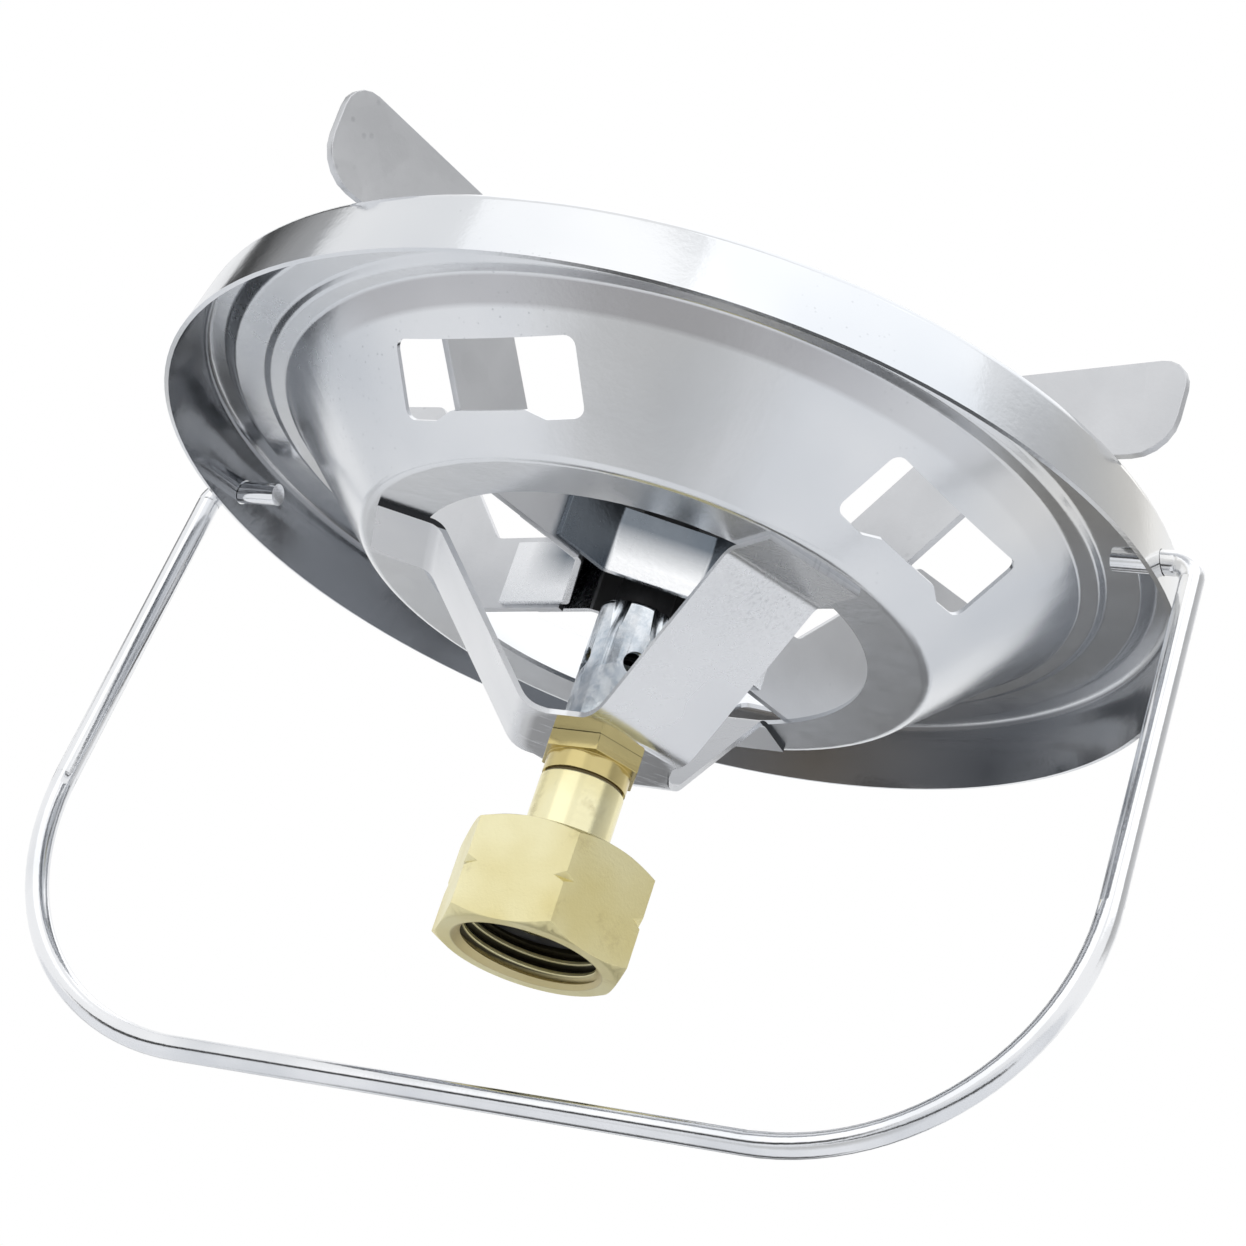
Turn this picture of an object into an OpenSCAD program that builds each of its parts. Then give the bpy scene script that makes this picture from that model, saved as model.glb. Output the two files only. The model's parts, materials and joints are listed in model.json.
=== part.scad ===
// Portable gas stove head that screws onto the valve of a gas cylinder.
// Origin: where the union nut's thread begins, just inside its mouth. Z points up, along the gas tube.

/* [Union nut] */
// Across the flats of the nut
nut_af = 26; // [25:0.5:32]
// Height of the nut
nut_h = 15.7; // [14:0.1:20]
// Web at the top of the nut that carries the tailpiece's flange
nut_web = 2.9; // [2:0.1:4]
// Radius of the nut's thread wall
thread_r = 9.9; // [9.2:0.1:10.6]
// Widening of the bore above the thread
thread_relief = 0.3; // [0.2:0.1:0.6]
// Gap between the thread's end and the inlet nipple
thread_gap = 0.1; // [0.1:0.1:0.5]
// Countersink at the mouth of the nut
mouth_chamfer = 1.1; // [0.4:0.1:1.4]
// Width of the notch across each corner, the sign of a left-hand thread
notch_w = 1.7; // [1:0.1:3]
// Depth of the notch below the corner
notch_depth = 0.8; // [0.4:0.1:1.4]
// Direction of one corner of the nut
nut_turn = -84; // [-90:1:-30]

/* [Brass stem] */
// Diameter of the barrel and the collar
barrel_d = 12.4; // [11.6:0.1:13]
// Length of barrel that shows above the nut
barrel_len = 10.7; // [6:0.1:16]
// Thickness of the flange inside the nut
flange_t = 5; // [2:0.1:6]
// Gap round the flange and the seal inside the thread
flange_gap = 0.4; // [0.3:0.1:0.8]
// Diameter of the inlet nipple
nipple_d = 9.6; // [8.6:0.1:11]
// Length of nipple below the seal
nipple_show = 0.6; // [0.5:0.1:2.5]
// Thickness of the rubber seal
seal_t = 2.2; // [1.5:0.1:3]
// Thickness of the washer between barrel and connector
joint_t = 0.5; // [0.3:0.1:1]
// How far that washer stays inside the barrel's edge
joint_inset = 0.4; // [0.1:0.1:0.6]
// Height of the connector's round collar
collar_h = 2.8; // [1.5:0.1:5]
// Across the flats of the connector's hexagon
hex_af = 13.4; // [13.2:0.1:15]
// Height of the hexagon
hex_h = 2.5; // [1.5:0.1:6]
// Diameter of the gas passage
gas_d = 3; // [2:0.1:3.4]
// Diameter of the tailpiece's spigot in the connector
spigot_d = 8; // [7:0.1:8.6]
// Length of that spigot
spigot_len = 4; // [2:0.1:4.5]
// Room past the end of the spigot
spigot_room = 0.2; // [0.1:0.1:0.5]
// Diameter of the inlet's filter seat
filter_d = 6.4; // [5:0.1:7.4]
// Depth of the inlet's filter seat
filter_depth = 2.4; // [2.2:0.1:3.2]
// Thickness of the gauze filter
filter_t = 0.6; // [0.3:0.1:1]
// Thickness of the ring that holds the filter
filter_ring_t = 0.8; // [0.4:0.1:1.2]
// Width of the ring that holds the filter
filter_ring_w = 0.7; // [0.4:0.1:1]

/* [Bracket] */
// Sheet of the three-legged bracket
bracket_t = 0.8; // [0.6:0.1:1.2]
// Rise from the hub plate to the underside of the pan
leg_rise = 22.8; // [20:0.2:30]
// Width of a leg
leg_w = 16.6; // [12:0.2:19]
// Distance from the axis to the fold between hub and leg
hub_reach = 11.5; // [11:0.1:13]
// Distance from the pan's hole in to the fold between leg and foot
foot_fold = 2.6; // [1.5:0.1:4]
// Distance from the foot's end to the bowl's wall
foot_inset = 2.2; // [1.6:0.1:3]
// Radius of the fold between hub and leg
hub_bend_r = 5; // [2:0.5:6]
// Radius of the fold between leg and foot
foot_bend_r = 3; // [1.5:0.5:4]
// Direction of the first leg
leg_turn = 60; // [50:1:70]
// Thickness of the lock washer on the hub plate
lock_t = 0.6; // [0.4:0.1:1.2]
// How far the lock washer shows round the tube
lock_lip = 0.5; // [0.2:0.1:0.8]

/* [Burner] */
// Diameter of the gas tube
tube_d = 11.8; // [11.2:0.1:12.4]
// Wall of the gas tube
tube_wall = 0.95; // [0.7:0.05:1.2]
// Length of the gas tube
tube_len = 20.7; // [19:0.1:21.4]
// Length of the crimped end of the tube
crimp_len = 6; // [4:0.5:7]
// Depth of the crimped flutes
flute_depth = 1; // [0.3:0.1:1.1]
// Radius of the crimped flutes
flute_r = 1.6; // [1:0.1:2]
// Number of crimped flutes
flute_count = 6; // [4:1:8]
// Diameter of the air holes
air_d = 3.6; // [2:0.1:4.4]
// Height of the air holes above the foot of the tube
air_up = 11.2; // [10:0.1:12]
// Direction of the first air hole
air_turn = -75; // [-90:1:0]
// Diameter of the burner's neck in the crimped end
neck_d = 8.4; // [7:0.1:8.6]
// Wall of the neck, the cup, the ring and the cap
cup_wall = 0.8; // [0.5:0.1:1.2]
// Length of neck inside the tube
neck_in = 5; // [3:0.5:5.5]
// Height of the cup's floor above the pot support's lower strips
cup_up = 3; // [0.5:0.1:6]
// Diameter of the burner cup
cup_d = 30; // [24:0.5:44]
// Height of the burner cup
cup_h = 5.2; // [4:0.1:8]
// Height of the flame ports above the cup
port_h = 2; // [1:0.1:3]
// Rim of the flame ring above and below the ports
port_rim = 0.3; // [0.2:0.1:0.4]
// Width of a flame port
port_w = 1; // [0.6:0.1:1.4]
// Number of flame ports
port_count = 24; // [12:1:30]
// Overhang of the burner cap past the cup
cap_lip = 0.8; // [0.2:0.1:2]
// Rise of the burner cap's dome
cap_dome = 2; // [1.4:0.1:4]
// Radius of the flat top of the burner cap
cap_flat_r = 5; // [2:0.5:9]
// Length of the jet's thread
jet_thread = 3; // [2:0.1:4]
// Diameter of the jet's thread
jet_d = 4.8; // [4.4:0.1:5.4]
// Across the flats of the jet's head
jet_af = 5.5; // [5.3:0.1:6.5]
// Height of the jet's head
jet_head = 2.4; // [1.5:0.1:3]
// Gap between the jet's head and the air holes
jet_gap = 0.1; // [0.1:0.1:1]
// Diameter of the jet's hole
jet_hole = 0.7; // [0.4:0.1:1]

/* [Pan] */
// Diameter across the skirt's free edge
pan_d = 154; // [150:0.5:164]
// Height of the skirt
skirt_h = 10.9; // [9:0.1:14]
// How far the skirt flares out on its way down
skirt_flare = 2.2; // [0:0.1:4]
// Sheet of the pan
sheet = 0.7; // [0.5:0.05:0.9]
// Depth of the bowl below the flange
bowl_depth = 19.4; // [16:0.1:22]
// Step from the flange up to the rim
rim_step = 1.8; // [1:0.1:3]
// Width of the raised rim
rim_w = 3.2; // [2.8:0.1:4.5]
// Width of the flat flange between the bead and the rim
flange_w = 4.9; // [3:0.1:7]
// How far the bowl's wall spreads from its foot to its mouth
wall_run = 17.8; // [15:0.1:19]
// Width of the flat foot ring round the centre hole
ring_w = 8.8; // [8:0.1:10]
// Width of the bead round the mouth
bead_w = 2.6; // [1.6:0.1:3.5]
// Drop of the bead below the flange
bead_drop = 1; // [0.8:0.1:1.5]
// Radius of the bend at the bowl's foot
bend_r = 2.4; // [1.6:0.1:3]
// Radius of the small bends
fold_r = 1; // [0.95:0.05:1.2]
// Radius of the bend between rim and skirt
rim_r = 1.4; // [0.8:0.1:1.5]

/* [Windows] */
// Width of a window in the bowl's wall
window_w = 30; // [24:0.5:33]
// Height of a window up the wall
window_h = 11.5; // [8:0.1:13]
// Distance from the middle of the wall down to the middle of a window
window_down = 2; // [0:0.1:3]
// Width of the raised tab at the foot of a window
tab_w = 12.6; // [8:0.1:15]
// Height of the raised tab
tab_h = 1.5; // [0.5:0.1:2.5]
// Run of the tab's sloping sides
tab_run = 3; // [2.5:0.1:4]
// Radius of the window's corners
window_r = 1.6; // [0.5:0.1:2]
// Radius of the tab's corners
tab_r = 0.8; // [0.2:0.1:1]
// Direction halfway between the two front windows
window_turn = -87; // [-95:1:-80]
// Turn from there to each window
window_spread = 40.5; // [36:0.5:54]

/* [Pot support] */
// Sheet of the pot support's blades
blade_t = 1.2; // [0.8:0.1:1.6]
// Sheet of the straps
strap_t = 1; // [0.6:0.1:1.2]
// Turn from the front to each front blade
blade_spread = 49; // [46:0.5:52]
// Distance from the axis to the inner end of a blade
blade_start = 15; // [14.6:0.1:17]
// How far a blade's tip reaches past the skirt's free edge
tip_over = 3; // [1:0.5:9]
// Height of the blade's lower strip
strip_h = 12.3; // [11:0.1:16]
// Distance from the bowl's foot to the end of the lower strip's foot
strip_inset = 4.8; // [3.5:0.1:5]
// Gap between rim and arm
arm_gap = 1.8; // [1:0.1:4]
// Height of the arm at its tip
arm_h = 15.4; // [13:0.1:20]
// Fall of the arm's upper edge towards the middle
arm_fall = 1.6; // [0:0.1:3]
// Distance from the bowl's mouth to the start of the arm's lower edge
arm_inset = 3.2; // [2.5:0.1:6]
// Width of the sloping part between strip and arm
riser_w = 5.4; // [4:0.1:8]
// Radius of the tip's upper corner
tip_r = 4.5; // [2:0.5:6]
// Radius of the tip's lower corner
tip_under_r = 6; // [2:0.5:7]
// Radius of the blade's inner corners
blade_r = 2; // [0.5:0.5:3]
// Height of the straps
strap_h = 10.4; // [8:0.1:10.8]
// Radius of the straps' bends, on the face towards the blades
strap_bend_r = 2; // [1.4:0.1:3]
// Gap between the straps and the pan's foot ring
strap_up = 0.5; // [0.3:0.1:1]
// Distance from the axis to the middle of the front and back strap's wall
strap_off = 7.6; // [7.2:0.1:8]
// Distance from the axis to the end of the front and back strap's tabs
strap_reach = 20.5; // [18:0.1:30]
// Distance from the axis to the middle of a side strap's wall
side_off = 10.9; // [10.6:0.1:11.2]
// Distance from the axis to the end of a side strap's tabs
side_reach = 26; // [20:0.1:30]

/* [Bail] */
// Diameter of the wire
wire_d = 3; // [2.5:0.1:3.6]
// Gap at the side between the bail and the widest piece at its pivot
bail_gap = 0.6; // [0.5:0.1:4]
// Lean of the bail's legs outwards on their way down
bail_flare = 3; // [0:0.1:6]
// Distance from the nut's mouth down to the hanging wire
bail_below = 24.4; // [10:0.2:60]
// Radius of the bail's corners
bail_corner_r = 39; // [20:1:60]
// Radius of the hooks at the wire's ends
hook_r = 3; // [2:0.1:3.5]
// Thinning of the wire in its bends, and how far a bend runs into the straights
bend_thin = 0.02; // [0.01:0.01:0.03]
bend_lap = 0.2; // [0.1:0.05:0.25]
// Length of wire inside the skirt
wire_in = 7; // [4:0.5:9]
// Height of the pivot holes above the skirt's free edge
pivot_up = 3.9; // [3:0.1:6]
// Direction of the pivot axis
bail_turn = -31; // [-33:1:-28]
// Swing of the bail from hanging straight, as built
bail_tilt = -5; // [-20:1:20]

/* [Clearances] */
// Radial clearance of a running or screwed fit
fit = 0.05; // [0.02:0.01:0.1]
// Play of the tailpiece's flange in the nut
play = 0.1; // [0.05:0.01:0.3]

/* [Hidden] */
$fn = 96;

// Extra length that lets a cut pass clear through
cut = 1;
// Steps in a rounded corner
corner_steps = 5;

// Heights up the stem
mouth_z = -mouth_chamfer;
nut_top = mouth_z + nut_h;
flange_top = nut_top - nut_web - play;
flange_low = flange_top - flange_t;
seal_low = flange_low - seal_t;
nipple_low = seal_low - nipple_show;
thread_top = nipple_low - thread_gap;
filter_low = nipple_low + filter_depth - filter_t;
barrel_top = nut_top + barrel_len;
collar_low = barrel_top + joint_t;
hex_low = collar_low + collar_h;
hub_low = hex_low + hex_h;
hub_top = hub_low + bracket_t;
tube_low = hub_top + lock_t;
tube_top = tube_low + tube_len;
air_z = tube_low + air_up;
spout_top = air_z - air_d / 2 - jet_gap - jet_head;

// Heights of the pan
ring_low = hub_low + leg_rise;
ring_top = ring_low + sheet;
flange_z = ring_low + bowl_depth;
bead_z = flange_z - bead_drop;
rim_low = flange_z + rim_step;
rim_top = rim_low + sheet;
edge_z = rim_top - skirt_h;
pivot_z = edge_z + pivot_up;

// Radii of the stem
barrel_r = barrel_d / 2;
tube_r = tube_d / 2;
spout_r = tube_r - tube_wall - fit;
flange_r = thread_r - flange_gap;

// Radii of the pan's underside
pan_r = pan_d / 2;
rim_out_r = pan_r - sheet - skirt_flare;
rim_in_r = rim_out_r - rim_w;
groove_r = rim_in_r - rim_step;
bead_r = groove_r - flange_w - bead_drop;
mouth_r = bead_r - bead_w;
foot_r = mouth_r - wall_run;
hole_r = foot_r - ring_w;

// The bowl's wall, from foot to mouth
wall_angle = atan2(bead_z - ring_low, mouth_r - foot_r);
wall_mid = [(foot_r + mouth_r) / 2, (ring_low + bead_z) / 2];

// The bracket
leg_turns = [for (i = [0 : 2]) leg_turn + 120 * i];
leg_top_r = hole_r - foot_fold;
leg_angle = atan2(ring_low - bracket_t - hub_low, leg_top_r - hub_reach);
hub_flat_r = hub_reach - hub_bend_r * tan(leg_angle / 2);
hub_lap = 2.5 * bracket_t;
hub_step = bracket_t / 2;

// Heights and radii of the pot support
strip_top = ring_top + strip_h;
strap_low = ring_top + strap_up;
arm_low = rim_top + arm_gap;
arm_top = arm_low + arm_h;
strip_r = foot_r - strip_inset;
blade_reach = pan_r + tip_over;
arm_low_r = mouth_r - arm_inset;
arm_in_r = arm_low_r - riser_w;
riser_run = (arm_low_r - strip_r) / (arm_low - ring_top);
riser_in_r = arm_in_r - riser_run * (arm_top - arm_fall - strip_top);

// The burner
neck_r = neck_d / 2;
cup_r = cup_d / 2;
cup_low = strip_top + cup_up;
cup_top = cup_low + cup_h;
ring_out_r = cup_r - cup_wall - fit;
cap_low = cup_top + port_h;

// The bail
wire_r = wire_d / 2;
bail_half = max(pan_r, blade_reach * cos(90 - blade_spread + bail_turn)) + bail_gap + wire_r;
bail_drop = pivot_z - mouth_z + bail_below;
bail_wide = bail_half + bail_drop * tan(bail_flare);
corner_at = [bail_wide - bail_corner_r * tan(45 + bail_flare / 2), bail_corner_r - bail_drop];

// Plane geometry for bent sheets and rounded outlines
function unit(v) = v / norm(v);
function left_of(v) = [-v.y, v.x];
function turn_of(a, b) = atan2(a.x * b.y - a.y * b.x, a * b);
function spin(v, q) = [v.x * cos(q) - v.y * sin(q), v.x * sin(q) + v.y * cos(q)];

// Points of the arc that rounds corner b between a and c
function corner(a, b, c, r) =
  let (
    d1 = unit(b - a),
    d2 = unit(c - b),
    q = turn_of(d1, d2),
    start = b - r * tan(abs(q) / 2) * d1,
    arm = -r * sign(q) * left_of(d1)
  )
  [for (i = [0 : corner_steps]) start - arm + spin(arm, q * i / corner_steps)];

// An open line with rounded corners
function rounded_line(p, r) = [
  p[0],
  for (i = [1 : len(p) - 2]) each corner(p[i - 1], p[i], p[i + 1], r[i - 1]),
  p[len(p) - 1]
];

// A closed outline with rounded corners, sharp where the radius is 0
function rounded_loop(p, r) =
  let (n = len(p))
  [for (i = [0 : n - 1])
    each (r[i] > 0 ? corner(p[(i + n - 1) % n], p[i], p[(i + 1) % n], r[i]) : [p[i]])];

// A line moved sideways by t, mitred at its corners
function side_line(p, t) =
  let (n = len(p))
  [for (i = [0 : n - 1])
    let (
      a = left_of(unit(p[max(i, 1)] - p[max(i, 1) - 1])),
      b = left_of(unit(p[min(i, n - 2) + 1] - p[min(i, n - 2)]))
    )
    p[i] + t * (a + b) / (1 + a * b)];

function reversed(p) = [for (i = [len(p) - 1 : -1 : 0]) p[i]];

// The section of a sheet of thickness t above the line p
function sheet_section(p, t) = concat(p, reversed(side_line(p, t)));

module brass() {
  color("#c9b35f") children();
}

module steel() {
  color("#b9bcc2") children();
}

module hexagon(af, h) {
  cylinder(d = af / cos(30), h = h, $fn = 6);
}

// A flat ring between two radii, from height z up by h
module washer(r_in, r_out, z, h) {
  translate([0, 0, z])
    difference() {
      cylinder(r = r_out, h = h);
      translate([0, 0, -cut]) cylinder(r = r_in, h = h + 2 * cut);
    }
}

// A plate that stands on the radius in direction q, with its outline in radius and height
module standing(q, t) {
  rotate([0, 0, q]) rotate([90, 0, 0]) linear_extrude(t, center = true) children();
}

module pan_section() {
  line = [
    [hole_r, ring_low],
    [foot_r, ring_low],
    [mouth_r, bead_z],
    [bead_r, bead_z],
    [bead_r + bead_drop, flange_z],
    [groove_r, flange_z],
    [rim_in_r, rim_low],
    [rim_out_r, rim_low],
    [pan_r - sheet, edge_z]
  ];
  bends = [bend_r, fold_r, fold_r, fold_r, fold_r, fold_r, rim_r];
  polygon(sheet_section(rounded_line(line, bends), sheet));
}

// Outline of a window: up the wall, then across it
module window_outline() {
  up = window_h / 2;
  side = window_w / 2;
  tab = tab_w / 2;
  outline = [
    [up, -side],
    [up, side],
    [-up, side],
    [-up, tab + tab_run],
    [tab_h - up, tab],
    [tab_h - up, -tab],
    [-up, -tab - tab_run],
    [-up, -side]
  ];
  radii = [window_r, window_r, window_r, tab_r, tab_r, tab_r, tab_r, window_r];
  translate([-window_down, 0]) polygon(rounded_loop(outline, radii));
}

module windows() {
  for (half = [0, 180], side = [-1, 1])
    rotate([0, 0, window_turn + half + side * window_spread])
      translate([wall_mid.x, 0, wall_mid.y])
        rotate([0, -wall_angle, 0])
          linear_extrude(8 * sheet, center = true) window_outline();
}

// The two holes in the skirt that the bail's ends pass through
module pivot_holes() {
  for (half = [0, 180])
    translate([0, 0, pivot_z])
      rotate([0, 0, bail_turn + half])
        translate([rim_out_r - wire_r, 0, 0])
          rotate([0, 90, 0]) cylinder(r = wire_r + fit, h = pan_r);
}

module pan() {
  color("#c6cace")
    difference() {
      rotate_extrude() pan_section();
      windows();
      pivot_holes();
    }
}

module leg_section() {
  line = [
    [hub_flat_r - hub_lap, hub_low],
    [hub_reach, hub_low],
    [leg_top_r, ring_low - bracket_t],
    [foot_r - foot_inset, ring_low - bracket_t]
  ];
  polygon(sheet_section(rounded_line(line, [hub_bend_r, foot_bend_r]), bracket_t));
}

module bracket() {
  hub = [
    for (q = leg_turns, s = [-1, 1])
      spin([hub_flat_r - hub_step, s * (leg_w / 2 - hub_step)], q)
  ];
  steel()
    difference() {
      union() {
        for (q = leg_turns) standing(q, leg_w) leg_section();
        translate([0, 0, hub_low]) linear_extrude(bracket_t) polygon(hub);
      }
      translate([0, 0, hub_low - cut]) cylinder(r = spout_r + fit, h = bracket_t + 2 * cut);
    }
}

module lock_washer() {
  steel() washer(spout_r + fit, tube_r + lock_lip, hub_top, lock_t);
}

module hex_connector() {
  socket_top = barrel_top + spigot_len + spigot_room;
  brass()
    difference() {
      union() {
        translate([0, 0, collar_low]) cylinder(r = barrel_r, h = collar_h);
        translate([0, 0, hex_low]) rotate([0, 0, 30]) hexagon(hex_af, hex_h);
        translate([0, 0, collar_low]) cylinder(r = spout_r, h = spout_top - collar_low);
      }
      translate([0, 0, collar_low - cut])
        cylinder(r = spigot_d / 2 + fit, h = socket_top - collar_low + cut);
      translate([0, 0, collar_low]) cylinder(d = gas_d, h = spout_top - collar_low + cut);
      translate([0, 0, spout_top - jet_thread])
        cylinder(r = jet_d / 2 + fit, h = jet_thread + cut);
    }
}

module jet() {
  thread_low = spout_top - jet_thread;
  brass()
    difference() {
      union() {
        translate([0, 0, thread_low]) cylinder(d = jet_d, h = jet_thread + jet_head);
        translate([0, 0, spout_top]) hexagon(jet_af, jet_head);
      }
      translate([0, 0, thread_low - cut]) cylinder(d = gas_d, h = jet_thread + cut);
      translate([0, 0, spout_top - cut]) cylinder(d = jet_hole, h = jet_head + 2 * cut);
    }
}

module joint_washer() {
  color("#6e5c38") washer(spigot_d / 2 + fit, barrel_r - joint_inset, barrel_top, joint_t);
}

module tailpiece() {
  brass()
    difference() {
      union() {
        translate([0, 0, nipple_low]) cylinder(d = nipple_d, h = flange_low - nipple_low);
        translate([0, 0, flange_low]) cylinder(r = flange_r, h = flange_t);
        translate([0, 0, flange_top]) cylinder(r = barrel_r, h = barrel_top - flange_top);
        translate([0, 0, barrel_top]) cylinder(d = spigot_d, h = spigot_len);
      }
      translate([0, 0, nipple_low - cut])
        cylinder(d = gas_d, h = barrel_top + spigot_len - nipple_low + 2 * cut);
      translate([0, 0, nipple_low - cut]) cylinder(r = filter_d / 2 + fit, h = filter_depth + cut);
    }
}

module gas_filter() {
  color("#8f8f8a") translate([0, 0, filter_low]) cylinder(d = filter_d, h = filter_t);
}

module filter_ring() {
  ring_r = filter_d / 2;
  brass() washer(ring_r - filter_ring_w, ring_r, filter_low - filter_ring_t, filter_ring_t);
}

module nut_seal() {
  color("#1c1c1e") washer(nipple_d / 2 + fit, flange_r, seal_low, seal_t);
}

// Rounds the corners of the nut at both ends
module nut_turning() {
  flat_r = nut_af / 2;
  tip = flat_r / cos(30) + fit;
  bevel = (tip - flat_r) * tan(30);
  rotate_extrude()
    polygon([
      [0, 0],
      [flat_r, 0],
      [tip, bevel],
      [tip, nut_h - bevel],
      [flat_r, nut_h],
      [0, nut_h]
    ]);
}

module corner_notches() {
  tip = nut_af / 2 / cos(30);
  half = notch_w / 2 * (notch_depth + cut) / notch_depth;
  translate([0, 0, nut_h / 2])
    rotate_extrude()
      polygon([[tip - notch_depth, 0], [tip + cut, -half], [tip + cut, half]]);
}

module union_nut() {
  web_low = nut_h - nut_web;
  brass()
    translate([0, 0, mouth_z])
      difference() {
        intersection() {
          rotate([0, 0, nut_turn]) hexagon(nut_af, nut_h);
          nut_turning();
        }
        corner_notches();
        translate([0, 0, -cut]) cylinder(r = thread_r, h = web_low + cut);
        translate([0, 0, thread_top - mouth_z])
          cylinder(r = thread_r + thread_relief, h = web_low - thread_top + mouth_z);
        translate([0, 0, -cut]) cylinder(r = barrel_r + fit, h = nut_h + 2 * cut);
        translate([0, 0, -cut])
          cylinder(
            r1 = thread_r + mouth_chamfer + cut,
            r2 = thread_r,
            h = mouth_chamfer + cut
          );
      }
}

// One flute: a leaning cylinder that runs out down the tube
module flute() {
  lean = atan2(flute_depth, crimp_len);
  translate([tube_r + flute_r - flute_depth, 0, tube_top])
    rotate([0, 180 - lean, 0])
      translate([0, 0, -cut]) cylinder(r = flute_r, h = 2 * crimp_len);
}

module burner_tube() {
  crimp_low = tube_top - crimp_len;
  outline = [
    [0, tube_low],
    [tube_r, tube_low],
    [tube_r, tube_top],
    [0, tube_top]
  ];
  color("#a9b4bc")
    difference() {
      rotate_extrude() polygon(rounded_loop(outline, [0, 0, tube_wall, 0]));
      translate([0, 0, tube_low - cut])
        cylinder(r = tube_r - tube_wall, h = crimp_low - tube_low + cut);
      translate([0, 0, tube_low]) cylinder(r = neck_r + fit, h = tube_len + cut);
      for (i = [0 : 3])
        translate([0, 0, air_z])
          rotate([0, 90, air_turn + 90 * i]) cylinder(d = air_d, h = tube_d);
      for (i = [0 : flute_count - 1]) rotate([0, 0, 360 / flute_count * i]) flute();
    }
}

module burner_cup() {
  neck_low = tube_top - neck_in;
  color("#53565a")
    difference() {
      union() {
        translate([0, 0, neck_low]) cylinder(r = neck_r, h = cup_low - neck_low + cup_wall);
        translate([0, 0, cup_low]) cylinder(r = cup_r, h = cup_h);
      }
      translate([0, 0, neck_low - cut]) cylinder(r = neck_r - cup_wall, h = 2 * cup_low);
      translate([0, 0, cup_low + cup_wall]) cylinder(r = cup_r - cup_wall, h = cup_h);
    }
}

module flame_ring() {
  ring_low_z = cup_low + cup_wall;
  color("#8c8f93")
    difference() {
      washer(ring_out_r - cup_wall, ring_out_r, ring_low_z, cap_low - ring_low_z);
      for (i = [0 : port_count - 1])
        rotate([0, 0, 360 / port_count * i])
          translate([ring_out_r / 2, -port_w / 2, cup_top + port_rim])
            cube([ring_out_r, port_w, port_h - 2 * port_rim]);
    }
}

module burner_cap() {
  cap_r = cup_r + cap_lip;
  lip_r = ring_out_r - cup_wall - fit;
  outline = [
    [0, cap_low + cap_dome],
    [cap_flat_r, cap_low + cap_dome],
    [cap_r, cap_low + cup_wall],
    [cap_r, cap_low],
    [lip_r, cap_low],
    [lip_r, cap_low - cup_wall],
    [0, cap_low - cup_wall]
  ];
  color("#6b6e72") rotate_extrude() polygon(outline);
}

// One blade in direction q: lower strip, sloping riser and upper arm
module blade(q) {
  outline = [
    [blade_start, ring_top],
    [strip_r, ring_top],
    [arm_low_r, arm_low],
    [blade_reach, arm_low],
    [blade_reach, arm_top],
    [arm_in_r, arm_top - arm_fall],
    [riser_in_r, strip_top],
    [blade_start, strip_top]
  ];
  radii = [0, blade_r / 2, blade_r, tip_under_r, tip_r, blade_r, blade_r, 0];
  color("#adafb3") standing(q, blade_t) polygon(rounded_loop(outline, radii));
}

module front_left_blade() {
  blade(-90 - blade_spread);
}

module front_right_blade() {
  blade(-90 + blade_spread);
}

module back_left_blade() {
  blade(90 + blade_spread);
}

module back_right_blade() {
  blade(90 - blade_spread);
}

// A bent strap between two blades: a wall across direction q and a tab flat against each blade,
// which stand at the angle spread to either side of q
module strap(q, spread, wall_off, reach) {
  wall_in = wall_off - strap_t / 2;
  fold_at = (wall_in - blade_t / 2 * sin(spread)) / cos(spread);
  half = fold_at * sin(spread) - blade_t / 2 * cos(spread);
  tab = spin([reach, -blade_t / 2], spread);
  line = [tab, [wall_in, half], [wall_in, -half], [tab.x, -tab.y]];
  bends = [strap_bend_r, strap_bend_r];
  color("#9fa3a8")
    rotate([0, 0, q])
      translate([0, 0, strap_low])
        linear_extrude(strap_h) polygon(sheet_section(rounded_line(line, bends), strap_t));
}

module front_strap() {
  strap(-90, blade_spread, strap_off, strap_reach);
}

module back_strap() {
  strap(90, blade_spread, strap_off, strap_reach);
}

module left_strap() {
  strap(180, 90 - blade_spread, side_off, side_reach);
}

module right_strap() {
  strap(0, 90 - blade_spread, side_off, side_reach);
}

// A bend of the wire in the plane of X and Z, between two angles, which runs a little into the straights
module wire_bend(r, from, to) {
  lap = bend_lap / r * 180 / PI;
  rotate([90, 0, 0])
    rotate_extrude(angle = to - from + 2 * lap, start = from - lap)
      translate([r, 0]) circle(wire_r - bend_thin);
}

// One side of the bail: end, hook, leg and corner
module bail_side() {
  wire_start = pan_r - sheet - wire_in;
  hook_at = [bail_half - hook_r * tan(45 - bail_flare / 2), -hook_r];
  lean = [cos(bail_flare), sin(bail_flare)];
  leg_high = hook_at + hook_r * lean;
  leg_low = corner_at + bail_corner_r * lean;
  translate([wire_start, 0, 0]) rotate([0, 90, 0]) cylinder(r = wire_r, h = hook_at.x - wire_start);
  translate([hook_at.x, 0, hook_at.y]) wire_bend(hook_r, bail_flare, 90);
  translate([leg_high.x, 0, leg_high.y])
    rotate([0, 180 - bail_flare, 0]) cylinder(r = wire_r, h = norm(leg_low - leg_high));
  translate([corner_at.x, 0, corner_at.y]) wire_bend(bail_corner_r, -90, bail_flare);
}

module bail() {
  color("#d4d6da")
    translate([0, 0, pivot_z])
      rotate([0, 0, bail_turn])
        rotate([bail_tilt, 0, 0]) {
          translate([-corner_at.x, 0, -bail_drop])
            rotate([0, 90, 0]) cylinder(r = wire_r, h = 2 * corner_at.x);
          for (half = [0, 180]) rotate([0, 0, half]) bail_side();
        }
}

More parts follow.
